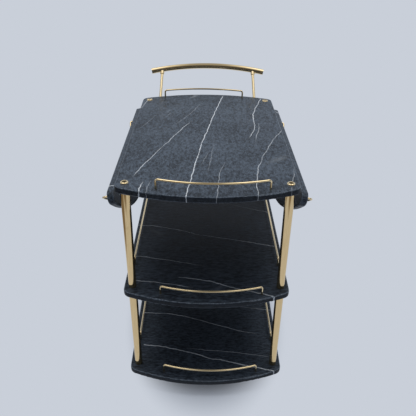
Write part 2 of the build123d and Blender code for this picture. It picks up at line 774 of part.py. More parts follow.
# Caster plates and kingpins under the bottom shelf
with BuildPart() as caster_plates:
    for x, y, z in corner_points(caster_x, caster_y, bottom_z):
        with BuildSketch(Plane(origin=(x, y, z - plate_thickness))) as plate:
            RectangleRounded(caster_plate_size, caster_plate_size, screw_head_diameter / 2)
            with GridLocations(caster_screw_pitch, caster_screw_pitch, 2, 2):
                Circle(screw_diameter / 2 + fixed_fit, mode=Mode.SUBTRACT)
            Circle(kingpin_diameter / 2 + fixed_fit, mode=Mode.SUBTRACT)
        extrude(plate.sketch, amount=plate_thickness)
keep(caster_plates.part, "caster_plates")

fork_top_z = bottom_z - plate_thickness - swivel_gap
kingpin_seat_z = fork_top_z - fork_thickness - swivel_gap
with BuildPart() as kingpins:
    for x, y, z in corner_points(caster_x, caster_y, kingpin_seat_z):
        with BuildSketch(Plane(origin=(x, y, z))) as shank:
            Circle(kingpin_diameter / 2)
        extrude(shank.sketch, amount=bottom_z - kingpin_seat_z)
        with BuildSketch(Plane(origin=(x, y, z))) as cap:
            Circle(kingpin_head_diameter / 2)
        extrude(cap.sketch, amount=-kingpin_head_height)
keep(kingpins.part, "kingpins")

# Swivel forks, axles and wheels, trailing towards the handle
wheel_radius = wheel_diameter / 2
cheek_inner = wheel_width / 2 + hub_step + wheel_side_gap
for corner, (x, y, z) in zip(CORNERS, corner_points(caster_x, caster_y, 0)):
    axle_y = y + caster_trail
    with BuildPart() as fork:
        with BuildSketch(Plane(origin=(x, y, fork_top_z))):
            Circle(fork_disc_diameter / 2)
        extrude(amount=-fork_thickness)
        for sign in (-1, 1):
            cheek = Plane(origin=(x + sign * cheek_inner, y, 0), x_dir=(0, sign, 0), z_dir=(sign, 0, 0))
            with BuildSketch(cheek) as side_plate:
                with Locations((sign * caster_trail, wheel_radius)):
                    Circle(fork_eye_diameter / 2)
                with Locations((0, fork_top_z - fork_thickness / 2)):
                    Rectangle(fork_shoulder, fork_thickness)
                make_hull()
                with Locations((sign * caster_trail, wheel_radius)):
                    Circle(axle_diameter / 2 + fixed_fit, mode=Mode.SUBTRACT)
            extrude(side_plate.sketch, amount=fork_thickness)
        with BuildSketch(Plane(origin=(x, y, fork_top_z))):
            Circle(kingpin_diameter / 2 + running_fit)
        extrude(amount=-fork_thickness, mode=Mode.SUBTRACT)
    keep(fork.part, f"caster_fork_{corner}")
    half_axle = cheek_inner + fork_thickness
    with BuildPart() as axle:
        with BuildSketch(Plane(origin=(x - half_axle, axle_y, wheel_radius), z_dir=(1, 0, 0))):
            Circle(axle_diameter / 2)
        extrude(amount=2 * half_axle)
        for sign in (-1, 1):
            cap_plane = Plane(origin=(x + sign * half_axle, axle_y, wheel_radius), z_dir=(sign, 0, 0))
            with BuildSketch(cap_plane):
                Circle(axle_head_diameter / 2)
            extrude(amount=axle_head_height)
    keep(axle.part, f"caster_axle_{corner}")
    with BuildPart() as wheel:
        with BuildSketch(Plane(origin=(x - wheel_width / 2, axle_y, wheel_radius), z_dir=(1, 0, 0))):
            Circle(wheel_radius)
        extrude(amount=wheel_width)
        fillet(wheel.edges().filter_by(GeomType.CIRCLE), wheel_edge_radius)
        hub_half = wheel_width / 2 + hub_step
        with BuildSketch(Plane(origin=(x - hub_half, axle_y, wheel_radius), z_dir=(1, 0, 0))):
            Circle(hub_diameter / 2)
        extrude(amount=2 * hub_half)
        with BuildSketch(Plane(origin=(x - hub_half, axle_y, wheel_radius), z_dir=(1, 0, 0))):
            Circle(axle_diameter / 2 + running_fit)
        extrude(amount=2 * hub_half, mode=Mode.SUBTRACT)
    keep(wheel.part, f"caster_wheel_{corner}")
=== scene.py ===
"""Dress the folding tea trolley: veined stone, pale brass posts and rails, casters, and a plain studio."""
import logging
import math
from dataclasses import dataclass, field, replace
from enum import Enum
from typing import Iterable, Optional, Sequence, Union

import bpy
from mathutils import Matrix, Vector


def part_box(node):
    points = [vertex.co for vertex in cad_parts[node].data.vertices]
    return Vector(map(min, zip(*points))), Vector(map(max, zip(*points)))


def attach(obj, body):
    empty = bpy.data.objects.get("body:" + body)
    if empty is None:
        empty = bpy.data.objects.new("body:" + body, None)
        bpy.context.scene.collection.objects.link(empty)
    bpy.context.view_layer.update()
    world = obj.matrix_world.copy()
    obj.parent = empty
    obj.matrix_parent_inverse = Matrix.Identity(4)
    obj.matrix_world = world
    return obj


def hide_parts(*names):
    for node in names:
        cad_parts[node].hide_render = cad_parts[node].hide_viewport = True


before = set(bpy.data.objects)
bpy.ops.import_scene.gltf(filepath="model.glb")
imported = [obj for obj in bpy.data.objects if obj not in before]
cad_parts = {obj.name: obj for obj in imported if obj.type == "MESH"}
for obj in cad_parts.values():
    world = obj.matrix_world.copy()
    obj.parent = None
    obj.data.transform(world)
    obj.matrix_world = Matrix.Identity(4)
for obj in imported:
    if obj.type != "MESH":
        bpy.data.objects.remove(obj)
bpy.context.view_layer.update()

log = logging.getLogger("tea_trolley")

Colour = tuple[float, float, float]
Point = tuple[float, float]
Place = tuple[float, float, float]
Socket = bpy.types.NodeSocket
Feed = Union[Socket, float, Sequence[float]]

ORIGIN: Place = (0.0, 0.0, 0.0)
EVEN: Place = (1.0, 1.0, 1.0)
NOISE_MIDDLE: Place = (0.5, 0.5, 0.5)
LEAF_TILT = math.radians(12.0)

CORNERS = ("near_left", "near_right", "far_left", "far_right")
SIDES = ("left", "right")
ENDS = ("near", "far")


class Lay(Enum):
    """The way that a metal piece was polished, as the stretch of its streaks."""

    UPRIGHT = (1.0, 1.0, 0.02)
    PLAIN = (1.0, 1.0, 1.0)


class Face(Enum):
    """How a stone lies at rest, as the line that its broad faces look along."""

    LEVEL = (0.0, 0.0, 1.0)
    LEFT_LEAF = (math.cos(LEAF_TILT), 0.0, math.sin(LEAF_TILT))
    RIGHT_LEAF = (math.cos(LEAF_TILT), 0.0, -math.sin(LEAF_TILT))

    @property
    def axes(self) -> tuple[str, str]:
        """Return the two axes that the points of its veins are given along."""
        return ("X", "Y") if self is Face.LEVEL else ("Y", "Z")


def srgb(code: str) -> Colour:
    """Turn a written colour into linear light.

    Args:
        code: Six hex digits.

    Returns:
        The red, green and blue amounts.
    """
    parts = [int(code[i:i + 2], 16) / 255.0 for i in (0, 2, 4)]
    return tuple(p / 12.92 if p <= 0.04045 else ((p + 0.055) / 1.055) ** 2.4 for p in parts)


class Graph:
    """Adds and links the nodes of one shader tree.

    A mix node has sockets of the same names for each kind of value, so its colours go by number.
    """

    MIX_FIRST = 6
    MIX_SECOND = 7
    MIX_RESULT = 2

    def __init__(self, tree: bpy.types.NodeTree) -> None:
        """Keep the tree."""
        self.tree = tree

    def feed(self, socket: Socket, value: Feed) -> None:
        """Link a socket, or set its value.

        Args:
            socket: The input to fill.
            value: Another node's output, a number, or the numbers of a colour or vector.
        """
        if isinstance(value, Socket):
            self.tree.links.new(value, socket)
        elif isinstance(value, (int, float)):
            socket.default_value = value
        else:
            numbers = tuple(value)
            socket.default_value = (*numbers, 1.0) if socket.type == "RGBA" and len(numbers) == 3 else numbers

    def add(self, kind: str, inputs: Optional[dict] = None, **settings: object) -> bpy.types.Node:
        """Add a node.

        Args:
            kind: The node's type name.
            inputs: Values for its inputs, by name or number.
            **settings: Its own properties.

        Returns:
            The new node.
        """
        node = self.tree.nodes.new(kind)
        for name, value in settings.items():
            setattr(node, name, value)
        for name, value in (inputs or {}).items():
            self.feed(node.inputs[name], value)
        return node

    def math(self, operation: str, *values: Feed, clamp: bool = False) -> Socket:
        """Add a Math node.

        Args:
            operation: The sum to do.
            *values: Its inputs in order.
            clamp: True to keep the result from 0 to 1.

        Returns:
            The result.
        """
        node = self.add("ShaderNodeMath", dict(enumerate(values)), operation=operation, use_clamp=clamp)
        return node.outputs[0]

    def vector(self, operation: str, *values: Feed) -> Socket:
        """Add a Vector Math node.

        Args:
            operation: The sum to do.
            *values: Its inputs in order.

        Returns:
            The vector result, or the number for a length or a dot product.
        """
        node = self.add("ShaderNodeVectorMath", dict(enumerate(values)), operation=operation)
        return node.outputs["Value" if operation in ("DOT_PRODUCT", "LENGTH", "DISTANCE") else "Vector"]

    def scaled(self, vector: Feed, scale: Feed) -> Socket:
        """Return a vector times a number."""
        node = self.add("ShaderNodeVectorMath", {0: vector, "Scale": scale}, operation="SCALE")
        return node.outputs["Vector"]

    def noise(self, vector: Feed, scale: Feed, layers: Point) -> bpy.types.Node:
        """Add a noise texture.

        Args:
            vector: Where to read it.
            scale: Waves in a metre.
            layers: How many finer layers it has, and how strong they are.

        Returns:
            The noise node.
        """
        detail, rough = layers
        values = {"Vector": vector, "Scale": scale, "Detail": detail, "Roughness": rough}
        return self.add("ShaderNodeTexNoise", values, noise_dimensions="3D")

    def ramp(self, value: Feed, low: Feed, high: Feed, to_low: Feed = 0.0, to_high: Feed = 1.0) -> Socket:
        """Map a range of a value smoothly onto another.

        Args:
            value: The number to map.
            low: The start of its range.
            high: The end of its range.
            to_low: What the start becomes.
            to_high: What the end becomes.

        Returns:
            The mapped number.
        """
        values = {"Value": value, "From Min": low, "From Max": high, "To Min": to_low, "To Max": to_high}
        return self.add("ShaderNodeMapRange", values, interpolation_type="SMOOTHSTEP").outputs["Result"]

    def mix(self, factor: Feed, first: Feed, second: Feed) -> Socket:
        """Mix two colours.

        Args:
            factor: 0 for the first, 1 for the second.
            first: A colour.
            second: Another colour.

        Returns:
            The mixed colour.
        """
        node = self.add("ShaderNodeMix", data_type="RGBA")
        self.feed(node.inputs["Factor"], factor)
        self.feed(node.inputs[self.MIX_FIRST], first)
        self.feed(node.inputs[self.MIX_SECOND], second)
        return node.outputs[self.MIX_RESULT]

    def group(self, tree: bpy.types.NodeTree, **inputs: Feed) -> bpy.types.Node:
        """Place a shared node group.

        Args:
            tree: The group.
            **inputs: Values for its inputs, with _ for a space in a name.

        Returns:
            The placed group.
        """
        node = self.add("ShaderNodeGroup", node_tree=tree)
        for name, value in inputs.items():
            self.feed(node.inputs[name.replace("_", " ")], value)
        return node


@dataclass
class Effects:
    """The shader node groups that several finishes share, each built once.

    Scales are waves in a metre, or times a group's own size where the name ends in times. Layers are how many
    finer layers a noise has, and how strong they are. A range is the part of a noise or slope that is spread
    from none to all.
    """

    broad_layers: Point = (6.0, 0.6)
    flock_times: float = 23.0
    flock_layers: Point = (5.0, 0.75)
    speck_times: float = 60.0
    speck_layers: Point = (3.0, 0.6)
    flock_share: float = 0.7
    tone_range: Point = (0.38, 0.64)
    warp_times: float = 2.0
    warp_layers: Point = (3.0, 0.55)
    warp_reach: float = 0.12
    ridge_layers: Point = (1.0, 0.4)
    patch_times: float = 1.7
    patch_layers: Point = (2.0, 0.55)
    patch_full: float = 0.75
    # Painted highlight along a stone's rounded edges, weakened in patches by chip noise, and painted shade on
    # its narrow sides.
    highlight_rise: Point = (0.3, 0.6)
    highlight_fall: Point = (0.8, 0.97)
    side_shade_range: Point = (0.1, 0.7)
    chip_scale: float = 240.0
    chip_layers: Point = (3.0, 0.7)
    chip_range: Point = (0.42, 0.66)
    chip_least: float = 0.3
    streak_layers: Point = (3.0, 0.65)
    bloom_scale: float = 38.0
    bloom_layers: Point = (5.0, 0.6)
    bloom_range: Point = (0.5, 0.78)
    mark_layers: Point = (8.0, 0.75)
    mark_range: Point = (0.58, 0.74)
    dust_times: float = 0.3
    dust_layers: Point = (4.0, 0.55)
    dust_range: Point = (0.45, 0.8)

    def __post_init__(self) -> None:
        """Build every group."""
        self.cloud = self._cloud()
        self.vein = self._vein()
        self.drift = self._drift()
        self.painted_edge_shading = self._painted_edge_shading()
        self.polish = self._polish()
        self.scuff = self._scuff()

    @staticmethod
    def _start(name: str, inputs: dict, outputs: dict) -> tuple[Graph, bpy.types.Node, bpy.types.Node]:
        """Open a new group with its sockets.

        Args:
            name: The group's name.
            inputs: Input names and their starting values.
            outputs: Output names and their socket types.

        Returns:
            The graph, its input node and its output node.
        """
        tree = bpy.data.node_groups.new(name, "ShaderNodeTree")
        for label, value in inputs.items():
            kind = "NodeSocketVector" if isinstance(value, tuple) else "NodeSocketFloat"
            if label.endswith("Colour"):
                kind = "NodeSocketColor"
            socket = tree.interface.new_socket(label, in_out="INPUT", socket_type=kind)
            socket.default_value = (*value, 1.0) if kind == "NodeSocketColor" else value
        for label, kind in outputs.items():
            tree.interface.new_socket(label, in_out="OUTPUT", socket_type=kind)
        graph = Graph(tree)
        return graph, graph.add("NodeGroupInput"), graph.add("NodeGroupOutput")

    def _cloud(self) -> bpy.types.NodeTree:
        """Build the stone's cloudy ground.

        Returns:
            The group, which puts out a colour and a fine grain.
        """
        inputs = {"Point": ORIGIN, "Lay": EVEN, "Dark Colour": ORIGIN, "Light Colour": ORIGIN,
                  "Size": 7.0, "Grain": 0.86}
        outputs = {"Colour": "NodeSocketColor", "Grain": "NodeSocketFloat"}
        graph, source, sink = self._start("stone_cloud", inputs, outputs)
        point = source.outputs["Point"]
        size = source.outputs["Size"]
        broad = graph.noise(point, size, self.broad_layers).outputs["Fac"]
        drawn = graph.vector("MULTIPLY", point, source.outputs["Lay"])
        flock_scale = graph.math("MULTIPLY", size, self.flock_times)
        flock = graph.noise(drawn, flock_scale, self.flock_layers).outputs["Fac"]
        speck_scale = graph.math("MULTIPLY", size, self.speck_times)
        speck = graph.noise(drawn, speck_scale, self.speck_layers).outputs["Fac"]
        fine = graph.math("ADD", graph.math("MULTIPLY", flock, self.flock_share),
                          graph.math("MULTIPLY", speck, 1.0 - self.flock_share))
        share = graph.add("ShaderNodeMix", {"Factor": source.outputs["Grain"], "A": broad, "B": fine})
        tone = graph.ramp(share.outputs["Result"], *self.tone_range)
        colour = graph.mix(tone, source.outputs["Dark Colour"], source.outputs["Light Colour"])
        graph.feed(sink.inputs["Colour"], colour)
        graph.feed(sink.inputs["Grain"], fine)
        return graph.tree

    def _vein(self) -> bpy.types.NodeTree:
        """Build one straight run of a vein, seen from above and running down through the stone.

        Returns:
            The group, which puts out a mask.
        """
        inputs = {"Point": ORIGIN, "Start": ORIGIN, "End": ORIGIN, "Width": 0.002, "First": 1.0, "Last": 1.0}
        graph, source, sink = self._start("stone_vein", inputs, {"Mask": "NodeSocketFloat"})
        away = graph.vector("SUBTRACT", source.outputs["Point"], source.outputs["Start"])
        along = graph.vector("SUBTRACT", source.outputs["End"], source.outputs["Start"])
        reach = graph.math("DIVIDE", graph.vector("DOT_PRODUCT", away, along),
                           graph.vector("DOT_PRODUCT", along, along), clamp=True)
        aside = graph.vector("LENGTH", graph.vector("SUBTRACT", away, graph.scaled(along, reach)))
        edge = graph.ramp(aside, 0.0, source.outputs["Width"], 1.0, 0.0)
        strength = graph.ramp(reach, 0.0, 1.0, source.outputs["First"], source.outputs["Last"])
        graph.feed(sink.inputs["Mask"], graph.math("MULTIPLY", edge, strength))
        return graph.tree

    def _drift(self) -> bpy.types.NodeTree:
        """Build the thin stray veins that run all through the stone.

        Returns:
            The group, which puts out a mask.
        """
        inputs = {"Point": ORIGIN, "Size": 3.0, "Width": 0.012, "Cover": 0.5}
        graph, source, sink = self._start("stone_drift", inputs, {"Mask": "NodeSocketFloat"})
        point = source.outputs["Point"]
        size = source.outputs["Size"]
        warp_scale = graph.math("MULTIPLY", size, self.warp_times)
        warp = graph.noise(point, warp_scale, self.warp_layers).outputs["Color"]
        aside = graph.scaled(graph.vector("SUBTRACT", warp, NOISE_MIDDLE), self.warp_reach)
        bent = graph.vector("ADD", point, aside)
        ridge = graph.noise(bent, size, self.ridge_layers).outputs["Fac"]
        off_ridge = graph.math("ABSOLUTE", graph.math("SUBTRACT", ridge, NOISE_MIDDLE[0]))
        line = graph.ramp(off_ridge, 0.0, source.outputs["Width"], 1.0, 0.0)
        patch_scale = graph.math("MULTIPLY", size, self.patch_times)
        patch = graph.noise(point, patch_scale, self.patch_layers).outputs["Fac"]
        shown = graph.ramp(patch, graph.math("SUBTRACT", 1.0, source.outputs["Cover"]), self.patch_full)
        graph.feed(sink.inputs["Mask"], graph.math("MULTIPLY", line, shown))
        return graph.tree

    def _painted_edge_shading(self) -> bpy.types.NodeTree:
        """Build a painted highlight along a stone's rounded edges, and painted shade on its narrow sides.

        Returns:
            The group, which puts out a mask for the painted highlight and one for the painted side shade.
        """
        inputs = {"Point": ORIGIN, "Normal": ORIGIN, "Face": ORIGIN}
        outputs = {"Line": "NodeSocketFloat", "Side": "NodeSocketFloat"}
        graph, source, sink = self._start("stone_painted_edge_shading", inputs, outputs)
        slope = graph.vector("DOT_PRODUCT", source.outputs["Normal"], source.outputs["Face"])
        broad = graph.math("ABSOLUTE", slope)
        # Painted highlight on the rounded edges, weakened in patches by chip noise.
        line = graph.math("MULTIPLY", graph.ramp(broad, *self.highlight_rise),
                          graph.ramp(broad, *self.highlight_fall, 1.0, 0.0))
        chips = graph.noise(source.outputs["Point"], self.chip_scale, self.chip_layers).outputs["Fac"]
        chipped = graph.ramp(chips, *self.chip_range, self.chip_least, 1.0)
        graph.feed(sink.inputs["Line"], graph.math("MULTIPLY", line, chipped))
        # Painted shade on the narrow sides.
        graph.feed(sink.inputs["Side"], graph.ramp(broad, *self.side_shade_range, 1.0, 0.0))
        return graph.tree

    def _polish(self) -> bpy.types.NodeTree:
        """Build a metal's polishing streaks and faint tarnish.

        Returns:
            The group, which puts out a streak value and a tarnish mask.
        """
        inputs = {"Point": ORIGIN, "Lay": EVEN, "Fineness": 1500.0}
        outputs = {"Streak": "NodeSocketFloat", "Tarnish": "NodeSocketFloat"}
        graph, source, sink = self._start("metal_polish", inputs, outputs)
        drawn = graph.vector("MULTIPLY", source.outputs["Point"], source.outputs["Lay"])
        streak = graph.noise(drawn, source.outputs["Fineness"], self.streak_layers).outputs["Fac"]
        bloom = graph.noise(source.outputs["Point"], self.bloom_scale, self.bloom_layers).outputs["Fac"]
        graph.feed(sink.inputs["Streak"], streak)
        graph.feed(sink.inputs["Tarnish"], graph.ramp(bloom, *self.bloom_range))
        return graph.tree

    def _scuff(self) -> bpy.types.NodeTree:
        """Build light scuffs and settled dust.

        Returns:
            The group, which puts out a scuff mask and a dust mask.
        """
        inputs = {"Point": ORIGIN, "Size": 120.0}
        outputs = {"Scuff": "NodeSocketFloat", "Dust": "NodeSocketFloat"}
        graph, source, sink = self._start("worn_scuff", inputs, outputs)
        point = source.outputs["Point"]
        size = source.outputs["Size"]
        marks = graph.noise(point, size, self.mark_layers).outputs["Fac"]
        dust_scale = graph.math("MULTIPLY", size, self.dust_times)
        dust = graph.noise(point, dust_scale, self.dust_layers).outputs["Fac"]
        graph.feed(sink.inputs["Scuff"], graph.ramp(marks, *self.mark_range))
        graph.feed(sink.inputs["Dust"], graph.ramp(dust, *self.dust_range))
        return graph.tree


def new_material(name: str) -> tuple[bpy.types.Material, Graph, bpy.types.Node, Socket]:
    """Start a material.

    Args:
        name: Its name.

    Returns:
        The material, its graph, its shader, and the point of the surface in the piece's own frame.
    """
    material = bpy.data.materials.new(name)
    material.use_nodes = True
    material.node_tree.nodes.clear()
    graph = Graph(material.node_tree)
    shader = graph.add("ShaderNodeBsdfPrincipled")
    sink = graph.add("ShaderNodeOutputMaterial")
    graph.feed(sink.inputs["Surface"], shader.outputs["BSDF"])
    return material, graph, shader, graph.add("ShaderNodeTexCoord").outputs["Object"]


@dataclass(frozen=True)
class VeinPath:
    """A pale vein, as the points that it passes, in metres along the stone's two broad axes."""

    points: tuple[Point, ...]
    width: float = 0.0016
    strength: float = 0.7
    ends: Point = (1.0, 1.0)

    def turned(self) -> "VeinPath":
        """Return the same vein on a stone that is turned half round."""
        return replace(self, points=tuple((-along, drop) for along, drop in self.points))

    def runs(self) -> Iterable[tuple[Point, Point, float, float]]:
        """Return its straight runs, each as its start, its end and its strength at both.

        Returns:
            The runs, in which the first and the last fade to the shares in ends.
        """
        strengths = [self.strength] * len(self.points)
        strengths[0] *= self.ends[0]
        strengths[-1] *= self.ends[1]
        return zip(self.points, self.points[1:], strengths, strengths[1:])


@dataclass(frozen=True)
class MarbleFinish:
    """Honed dark stone with a mottled ground, pale veins placed from its middle, a painted highlight along
    its rounded edges and painted shade on its narrow sides.
    """

    name: str
    dark: Colour
    light: Colour
    vein: Colour
    roughness: float
    grain: float = 0.86
    cover: float = 0.42
    stray: float = 0.35
    paths: tuple[VeinPath, ...] = ()
    middle: Place = ORIGIN
    face: Face = Face.LEVEL
    lay: Place = (1.0, 0.5, 1.0)
    cloud_size: float = 7.0
    drift_size: float = 2.6
    swing: float = 0.012
    swing_scale: float = 26.0
    swing_layers: Point = (6.0, 0.68)
    fade_scale: float = 34.0
    fade_layers: Point = (5.0, 0.65)
    fade_range: Point = (0.32, 0.55)
    fade_least: float = 0.5
    # Colour and share of the painted edge highlight, and share of the painted shade on the narrow sides.
    painted_edge_shading: Colour = srgb("8a949f")
    edge_highlight_share: float = 0.55
    side_shade_share: float = 0.7
    grain_range: Point = (0.3, 0.7)
    rough_spread: float = 0.1
    bump: float = 0.12
    bump_depth: float = 0.0006
    ior: float = 1.5
    specular: float = 0.14

    def make(self, effects: Effects) -> bpy.types.Material:
        """Build the material.

        Args:
            effects: The shared node groups.

        Returns:
            The material.
        """
        material, graph, shader, place = new_material(self.name)
        point = graph.vector("SUBTRACT", place, self.middle)
        cloud = graph.group(effects.cloud, Point=point, Lay=self.lay, Dark_Colour=self.dark,
                            Light_Colour=self.light, Size=self.cloud_size, Grain=self.grain)
        normal = graph.add("ShaderNodeTexCoord").outputs["Normal"]
        painted_edge_shading = graph.group(effects.painted_edge_shading, Point=point, Normal=normal, Face=self.face.value).outputs
        wander = graph.noise(point, self.swing_scale, self.swing_layers).outputs["Color"]
        swing = graph.scaled(graph.vector("SUBTRACT", wander, NOISE_MIDDLE), self.swing)
        swung = graph.add("ShaderNodeSeparateXYZ", {0: graph.vector("ADD", point, swing)}).outputs
        across, along = self.face.axes
        flat = graph.add("ShaderNodeCombineXYZ", {"X": swung[across], "Y": swung[along]}).outputs[0]
        drift = graph.group(effects.drift, Point=point, Size=self.drift_size, Cover=self.cover)
        mask = graph.math("MULTIPLY", drift.outputs["Mask"], self.stray)
        for path in self.paths:
            for start, end, first, last in path.runs():
                run = graph.group(effects.vein, Point=flat, Start=(*start, 0.0), End=(*end, 0.0),
                                  Width=path.width, First=first, Last=last)
                mask = graph.math("MAXIMUM", mask, run.outputs["Mask"])
        fade = graph.noise(point, self.fade_scale, self.fade_layers).outputs["Fac"]
        shown = graph.math("MULTIPLY", mask, graph.ramp(fade, *self.fade_range, self.fade_least, 1.0))
        # Painted shade: the narrow sides are mixed towards the dark ground colour.
        sides = graph.math("MULTIPLY", painted_edge_shading["Side"], self.side_shade_share)
        veined_and_side_shaded = graph.mix(shown, graph.mix(sides, cloud.outputs["Colour"], self.dark), self.vein)
        # Painted highlight: a pale line along the rounded edges.
        edge_highlight = graph.math("MULTIPLY", painted_edge_shading["Line"], self.edge_highlight_share)
        graph.feed(shader.inputs["Base Color"], graph.mix(edge_highlight, veined_and_side_shaded, self.painted_edge_shading))
        rough = graph.ramp(cloud.outputs["Grain"], *self.grain_range, self.roughness - self.rough_spread,
                           self.roughness + self.rough_spread)
        graph.feed(shader.inputs["Roughness"], rough)
        bump = graph.add("ShaderNodeBump", {"Height": cloud.outputs["Grain"], "Strength": self.bump,
                                             "Distance": self.bump_depth})
        graph.feed(shader.inputs["Normal"], bump.outputs["Normal"])
        shader.inputs["IOR"].default_value = self.ior
        shader.inputs["Specular IOR Level"].default_value = self.specular
        return material


@dataclass(frozen=True)
class MetalFinish:
    """Polished or plated metal with fine streaks and a faint tarnish."""

    name: str
    colour: Colour
    tarnish: Colour
    roughness: float
    lay: Lay = Lay.PLAIN
    fineness: float = 1500.0
    tarnish_share: float = 0.3
    streak_share: float = 0.35
    streak_range: Point = (0.3, 0.62)
    rough_range: Point = (0.25, 0.75)
    rough_times: Point = (0.75, 1.3)
    scuff_size: float = 160.0
    scuff_rough: float = 0.06
    bump: float = 0.02
    bump_depth: float = 0.0001

    def make(self, effects: Effects) -> bpy.types.Material:
        """Build the material.

        Args:
            effects: The shared node groups.

        Returns:
            The material.
        """
        material, graph, shader, point = new_material(self.name)
        polish = graph.group(effects.polish, Point=point, Lay=self.lay.value, Fineness=self.fineness)
        scuff = graph.group(effects.scuff, Point=point, Size=self.scuff_size)
        stain = graph.math("MULTIPLY", polish.outputs["Tarnish"], self.tarnish_share)
        drawn = graph.ramp(polish.outputs["Streak"], *self.streak_range, self.streak_share, 0.0)
        darkened = graph.math("MAXIMUM", stain, drawn)
        graph.feed(shader.inputs["Base Color"], graph.mix(darkened, self.colour, self.tarnish))
        shader.inputs["Metallic"].default_value = 1.0
        least, most = (self.roughness * times for times in self.rough_times)
        rough = graph.ramp(polish.outputs["Streak"], *self.rough_range, least, most)
        dulled = graph.math("MULTIPLY_ADD", scuff.outputs["Scuff"], self.scuff_rough, rough)
        graph.feed(shader.inputs["Roughness"], dulled)
        bump = graph.add("ShaderNodeBump", {"Height": polish.outputs["Streak"], "Strength": self.bump,
                                             "Distance": self.bump_depth})
        graph.feed(shader.inputs["Normal"], bump.outputs["Normal"])
        return material


@dataclass(frozen=True)
class PlasticFinish:
    """Hard moulded plastic with scuffs and a little dust."""

    name: str
    colour: Colour
    worn: Colour
    roughness: float
    scuff_size: float = 220.0
    scuff_share: float = 0.45
    dust_share: float = 0.2
    rough_gain: float = 0.25
    bump: float = 0.15
    bump_depth: float = 0.0002

    def make(self, effects: Effects) -> bpy.types.Material:
        """Build the material.

        Args:
            effects: The shared node groups.

        Returns:
            The material.
        """
        material, graph, shader, point = new_material(self.name)
        scuff = graph.group(effects.scuff, Point=point, Size=self.scuff_size)
        dust = graph.math("MULTIPLY", scuff.outputs["Dust"], self.dust_share)
        marks = graph.math("MULTIPLY_ADD", scuff.outputs["Scuff"], self.scuff_share, dust, clamp=True)
        graph.feed(shader.inputs["Base Color"], graph.mix(marks, self.colour, self.worn))
        rough = graph.math("MULTIPLY_ADD", marks, self.rough_gain, self.roughness)
        graph.feed(shader.inputs["Roughness"], rough)
        bump = graph.add("ShaderNodeBump", {"Height": scuff.outputs["Scuff"], "Strength": self.bump,
                                             "Distance": self.bump_depth})
        graph.feed(shader.inputs["Normal"], bump.outputs["Normal"])
        return material


TOP_VEINS = (
    VeinPath(((0.057, 0.375), (0.029, 0.221), (0.005, 0.069), (-0.016, -0.068), (-0.031, -0.192),
              (-0.042, -0.299), (-0.048, -0.348), (-0.052, -0.402)), 0.0020, 1.0),
    VeinPath(((-0.052, 0.112), (-0.074, 0.060), (-0.098, -0.008), (-0.117, -0.066)), 0.0016, 0.8,
              (0.15, 0.9)),
    VeinPath(((-0.117, -0.066), (-0.132, -0.103), (-0.152, -0.165)), 0.0015, 0.5, (1.4, 1.4)),
    VeinPath(((-0.152, -0.165), (-0.170, -0.217), (-0.180, -0.253), (-0.190, -0.290)), 0.0017, 0.8,
              (0.9, 0.2)),
    VeinPath(((-0.160, -0.316), (-0.167, -0.352), (-0.167, -0.395)), 0.0021, 0.9, (0.3, 1.0)),
    VeinPath(((-0.142, -0.306), (-0.147, -0.345), (-0.148, -0.390)), 0.0013, 0.4, (0.2, 1.0)),
    VeinPath(((0.192, 0.345), (0.168, 0.252), (0.153, 0.184), (0.148, 0.122)), 0.0020, 0.9),
    VeinPath(((0.148, 0.122), (0.150, 0.083), (0.146, 0.049), (0.131, -0.002), (0.122, -0.030)), 0.0016,
              0.75, (1.2, 0.1)),
    VeinPath(((0.163, 0.100), (0.160, 0.040), (0.149, 0.003), (0.139, -0.070)), 0.0014, 0.55, (0.2, 0.1)),
    VeinPath(((0.240, 0.066), (0.220, 0.018), (0.195, -0.035), (0.171, -0.106), (0.152, -0.156),
              (0.145, -0.189)), 0.0015, 0.6, (0.3, 0.5)),
    VeinPath(((0.145, -0.189), (0.137, -0.213), (0.129, -0.257), (0.124, -0.300), (0.120, -0.345),
              (0.120, -0.395)), 0.0017, 0.65, (0.5, 0.9)),
    VeinPath(((0.022, -0.021), (0.007, -0.192), (-0.003, -0.284)), 0.0012, 0.3, (0.1, 0.1)),
    VeinPath(((0.006, -0.120), (-0.009, -0.180), (-0.018, -0.226)), 0.0012, 0.3, (0.1, 0.1)),
    VeinPath(((0.048, -0.195), (0.030, -0.263), (0.026, -0.337), (0.019, -0.412)), 0.0014, 0.42,
              (0.2, 1.0)),
    VeinPath(((-0.015, 0.315), (-0.046, 0.213), (-0.057, 0.178), (-0.084, 0.121), (-0.116, 0.050)),
              0.0012, 0.34, (0.2, 0.0)),
    VeinPath(((-0.162, 0.190), (-0.191, 0.095), (-0.214, 0.030)), 0.0012, 0.3, (0.1, 0.1)),
    VeinPath(((-0.124, 0.190), (-0.140, 0.125)), 0.0012, 0.3, (1.0, 0.0)),
    VeinPath(((-0.208, 0.345), (-0.215, 0.305), (-0.226, 0.235)), 0.0018, 0.75, (0.4, 0.6)),
    VeinPath(((0.228, -0.225), (0.221, -0.270), (0.213, -0.303)), 0.0013, 0.5, (0.1, 1.0)),
    VeinPath(((0.205, -0.342), (0.201, -0.380)), 0.0012, 0.35),
)
MIDDLE_VEINS = (
    VeinPath(((-0.232, -0.002), (-0.164, -0.008), (-0.099, -0.026), (-0.021, -0.058), (0.056, -0.077),
              (0.132, -0.097), (0.218, -0.122)), 0.0019, 0.85),
    VeinPath(((0.045, 0.160), (0.219, 0.087)), 0.0019, 0.6, (0.2, 1.0)),
    VeinPath(((-0.211, -0.178), (-0.140, -0.192), (-0.068, -0.210), (-0.005, -0.226)), 0.0018, 0.75,
              (1.0, 0.1)),
    VeinPath(((-0.079, -0.279), (-0.031, -0.289), (0.010, -0.296), (0.035, -0.309), (0.075, -0.325)),
              0.0022, 1.0, (0.4, 1.0)),
    VeinPath(((0.075, -0.325), (0.115, -0.339), (0.166, -0.355), (0.216, -0.369)), 0.0018, 0.85),
    VeinPath(((-0.197, -0.296), (-0.139, -0.304), (-0.084, -0.316), (-0.038, -0.326)), 0.0019, 0.9,
              (1.0, 0.2)),
)
